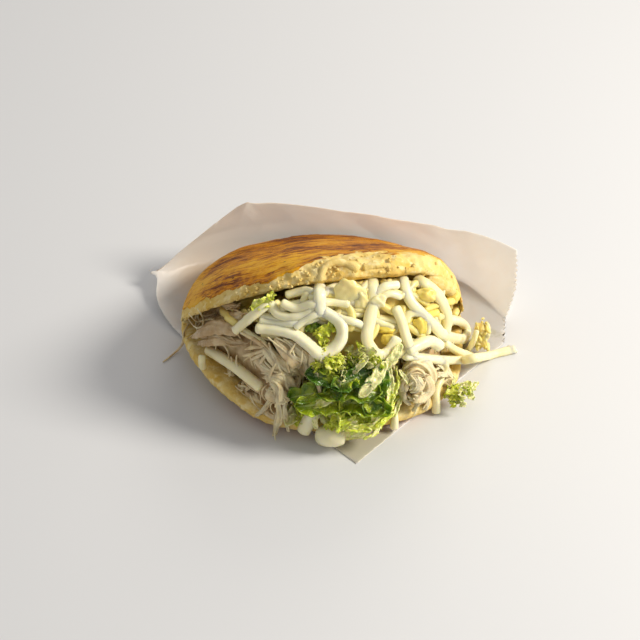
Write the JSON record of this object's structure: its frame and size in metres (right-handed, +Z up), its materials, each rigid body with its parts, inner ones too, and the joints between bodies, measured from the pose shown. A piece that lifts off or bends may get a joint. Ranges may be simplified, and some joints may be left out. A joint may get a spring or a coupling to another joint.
{
  "type": "stuffed arepa",
  "caption": "Round corn cake split into a pocket, filled with shredded chicken, lettuce and thick strands of white cheese, resting in an open paper pocket.",
  "frame": {"origin": "on the surface it stands on, under the middle of the round corn cake", "axes": "+Z up; the mouth of the cake faces -Y and the hinge and raised paper are at +Y; +X to the right when looking into the mouth"},
  "size_m": [0.1759, 0.152, 0.0768],
  "materials": {
    "corn_bread": "griddled corn crust, golden with brown streaks, with pale yellow torn crumb",
    "chicken": "moist shredded chicken",
    "lettuce": "dressed chopped lettuce, slightly wet",
    "white_cheese": "soft white cheese strands, slightly melted, satin",
    "waxed_paper": "thin translucent waxed paper with faint creases"
  },
  "bodies": {
    "root": {"arepa_bread": "corn_bread", "chicken_left": "chicken", "chicken_right": "chicken", "lettuce_heap": "lettuce", "lettuce_sprig_right": "lettuce", "cheese_heap": "white_cheese", "cheese_strand_left": "white_cheese", "cheese_strand_right": "white_cheese", "cheese_lump_front": "white_cheese", "cheese_spill_right": "white_cheese", "paper_pocket": "waxed_paper"}
  },
  "joints": []
}
